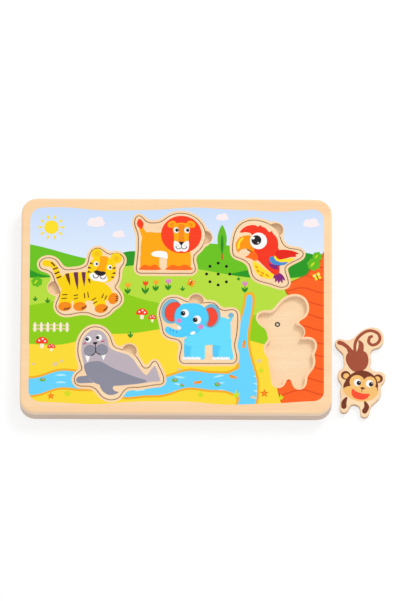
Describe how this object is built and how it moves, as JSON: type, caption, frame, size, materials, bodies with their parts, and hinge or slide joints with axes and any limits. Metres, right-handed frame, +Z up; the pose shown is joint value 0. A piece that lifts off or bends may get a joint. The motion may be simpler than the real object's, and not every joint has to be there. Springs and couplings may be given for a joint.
{
  "type": "wooden sound puzzle",
  "caption": "Flat wooden sound puzzle: animal pieces lift out of cut-outs in a printed board that holds light sensors, a speaker and a battery box.",
  "frame": {"origin": "middle of the board's underside, on the table; the loose monkey piece beside the board doesn't shift it", "axes": "+X along the board's long side, to the reader's right; +Y away from the reader; +Z up, out of the printed face"},
  "size_m": [0.3517, 0.22, 0.0187],
  "materials": {
    "birch": "sanded plywood, clear matt lacquer, printed on top",
    "floor_wood": "sanded plywood",
    "tiger_paint": "printed plywood",
    "lion_paint": "printed plywood",
    "parrot_paint": "printed plywood",
    "walrus_paint": "printed plywood",
    "elephant_paint": "printed plywood",
    "monkey_paint": "printed plywood",
    "white_plastic": "fine texture",
    "clear_plastic": "clear resin",
    "steel": "zinc plated",
    "circuit_green": "solder mask",
    "black_resin": "cast resin",
    "cell_wrap": "plain dark wrap",
    "foam": "soft foam",
    "cone_film": "thin film",
    "red_wire": "smooth insulation",
    "black_wire": "smooth insulation",
    "grey_wire": "smooth insulation"
  },
  "bodies": {
    "board": {"back_panel": "birch", "base_frame": "birch", "floor_panel": "floor_wood", "top_panel": "birch", "tiger_light_sensor": "clear_plastic", "lion_light_sensor": "clear_plastic", "parrot_light_sensor": "clear_plastic", "walrus_light_sensor": "clear_plastic", "elephant_light_sensor": "clear_plastic", "monkey_light_sensor": "clear_plastic", "tiger_sensor_lead": "grey_wire", "lion_sensor_lead": "grey_wire", "parrot_sensor_lead": "grey_wire", "walrus_sensor_lead": "grey_wire", "elephant_sensor_lead": "grey_wire", "monkey_sensor_lead": "grey_wire", "speaker_gasket": "foam", "speaker_basket": "steel", "speaker_cone": "cone_film", "speaker_magnet": "steel", "speaker_minus_lead": "black_wire", "speaker_plus_lead": "red_wire", "circuit_board": "circuit_green", "sound_chip": "black_resin", "capacitor": "black_resin", "board_screw_left": "steel", "board_screw_right": "steel", "battery_box": "white_plastic", "box_screw_left": "steel", "box_screw_right": "steel", "contact_spring_front": "steel", "contact_spring_rear": "steel", "positive_contact": "steel", "negative_contact": "steel", "link_contact": "steel", "battery_lead_positive": "red_wire", "battery_lead_negative": "black_wire", "back_screw_front_left": "steel", "back_screw_front_right": "steel", "back_screw_left": "steel", "back_screw_right": "steel", "back_screw_rear_left": "steel", "back_screw_rear_right": "steel"},
    "tiger": {"tiger_piece": "tiger_paint"},
    "lion": {"lion_piece": "lion_paint"},
    "parrot": {"parrot_piece": "parrot_paint"},
    "walrus": {"walrus_piece": "walrus_paint"},
    "elephant": {"elephant_piece": "elephant_paint"},
    "monkey": {"monkey_piece": "monkey_paint"},
    "battery_cover": {"battery_cover": "white_plastic"},
    "cover_screw_left": {"cover_screw_left": "steel"},
    "cover_screw_right": {"cover_screw_right": "steel"},
    "battery_front": {"battery_front": "cell_wrap"},
    "battery_rear": {"battery_rear": "cell_wrap"}
  },
  "joints": [
    {"name": "tiger_lift", "type": "slide", "parent": "board", "child": "tiger", "axis": [0, 0, 1], "range_m": [0, 0.04]},
    {"name": "lion_lift", "type": "slide", "parent": "board", "child": "lion", "axis": [0, 0, 1], "range_m": [0, 0.04]},
    {"name": "parrot_lift", "type": "slide", "parent": "board", "child": "parrot", "axis": [0, 0, 1], "range_m": [0, 0.04]},
    {"name": "walrus_lift", "type": "slide", "parent": "board", "child": "walrus", "axis": [0, 0, 1], "range_m": [0, 0.04]},
    {"name": "elephant_lift", "type": "slide", "parent": "board", "child": "elephant", "axis": [0, 0, 1], "range_m": [0, 0.04]},
    {"name": "monkey_lift", "type": "slide", "parent": "board", "child": "monkey", "axis": [0, 0, 1], "range_m": [0, 0.04]},
    {"name": "cover_drop", "type": "slide", "parent": "board", "child": "battery_cover", "axis": [0, 0, -1], "range_m": [0, 0.03]},
    {"name": "battery_front_drop", "type": "slide", "parent": "board", "child": "battery_front", "axis": [0, 0, -1], "range_m": [0, 0.015]},
    {"name": "battery_rear_drop", "type": "slide", "parent": "board", "child": "battery_rear", "axis": [0, 0, -1], "range_m": [0, 0.015]},
    {"name": "cover_screw_left_turn", "type": "hinge", "parent": "battery_cover", "child": "cover_screw_left", "pos_m": [0.01135, -0.079, 0.0003], "axis": [0, 0, 1], "continuous": true},
    {"name": "cover_screw_right_turn", "type": "hinge", "parent": "battery_cover", "child": "cover_screw_right", "pos_m": [0.06865, -0.079, 0.0003], "axis": [0, 0, 1], "continuous": true}
  ],
  "couplings": [
    {"joint": "battery_front_drop", "follows": "cover_drop", "ratio": 0.5},
    {"joint": "battery_rear_drop", "follows": "cover_drop", "ratio": 0.5}
  ]
}
